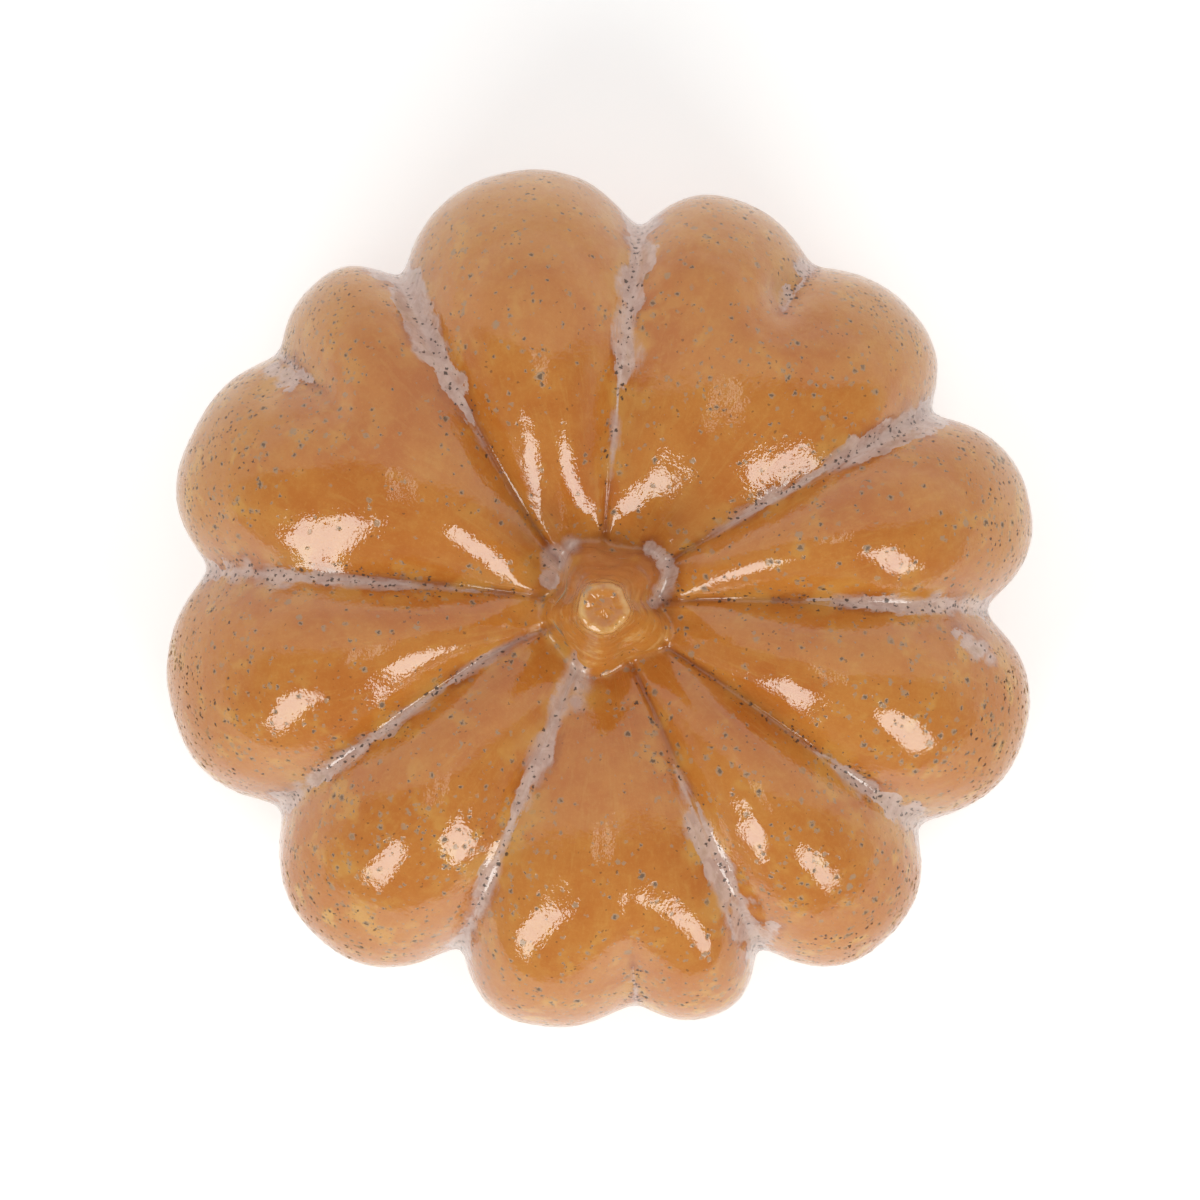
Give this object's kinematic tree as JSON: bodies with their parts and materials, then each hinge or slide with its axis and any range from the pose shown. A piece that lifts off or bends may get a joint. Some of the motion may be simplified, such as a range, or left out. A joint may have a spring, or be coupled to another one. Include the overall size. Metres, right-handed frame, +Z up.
{
  "type": "decorative pumpkin",
  "caption": "Hollow glazed stoneware pumpkin with rounded ribs, some of them forked towards the rim, and a short fluted stem, standing on felt pads.",
  "frame": {"origin": "on the surface that the pumpkin stands on, below the middle of its outline", "axes": "+Z up along the stem, +X to the right and +Y to the top of the picture, which looks straight down"},
  "size_m": [0.1999, 0.1985, 0.108],
  "materials": {
    "glaze": "glossy translucent amber glaze over coarse stoneware, opaque grey-lilac where it pooled in the creases",
    "stem_glaze": "the same glaze, thin over the brushed flanks of the stem",
    "felt": "pressed wool felt"
  },
  "bodies": {
    "root": {"upper_shell": "glaze", "lower_shell": "glaze", "stem": "stem_glaze", "felt_pad_1": "felt", "felt_pad_2": "felt", "felt_pad_3": "felt", "felt_pad_4": "felt"}
  },
  "joints": []
}
